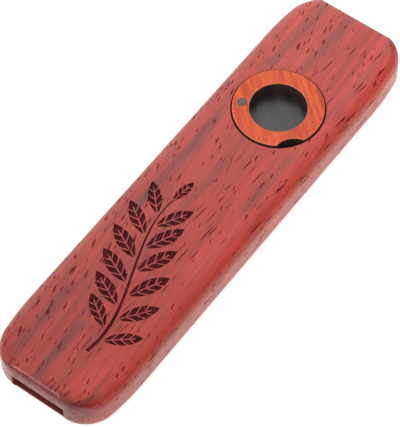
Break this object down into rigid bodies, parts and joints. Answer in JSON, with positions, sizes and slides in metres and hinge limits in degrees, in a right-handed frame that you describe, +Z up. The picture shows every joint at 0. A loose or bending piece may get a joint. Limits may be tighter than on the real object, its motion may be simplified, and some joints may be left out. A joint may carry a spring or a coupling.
{
  "type": "kazoo",
  "caption": "Flat wooden kazoo bar with rounded corners: a blown airway runs under a film disc that a loose wooden ring, held by magnets, clamps in a round pocket.",
  "frame": {"origin": "middle of the bar's plan, at the level of its flat underside", "axes": "+X along the bar from the mouth end to the ring's end, +Y across the bar, +Z up through its thickness, out of the face that holds the ring"},
  "size_m": [0.1194, 0.0308, 0.0125],
  "materials": {
    "bar_wood": "varnished red hardwood with dark pores",
    "ring_wood": "oiled orange hardwood, laser-burnt on its cut walls",
    "magnet": "dull nickel plate",
    "film": "thin dark film"
  },
  "bodies": {
    "bar": {"lower_board": "bar_wood", "upper_board": "bar_wood", "seat_magnet": "magnet"},
    "cover": {"cover_ring": "ring_wood", "ring_magnet": "magnet"},
    "film": {"membrane": "film"}
  },
  "joints": [
    {"name": "cover_lift", "type": "slide", "parent": "bar", "child": "cover", "axis": [0, 0, 1], "range_m": [0, 0.02]},
    {"name": "film_lift", "type": "slide", "parent": "bar", "child": "film", "axis": [0, 0, 1], "range_m": [0, 0.01]}
  ],
  "couplings": [
    {"joint": "film_lift", "follows": "cover_lift", "ratio": 0.5}
  ]
}
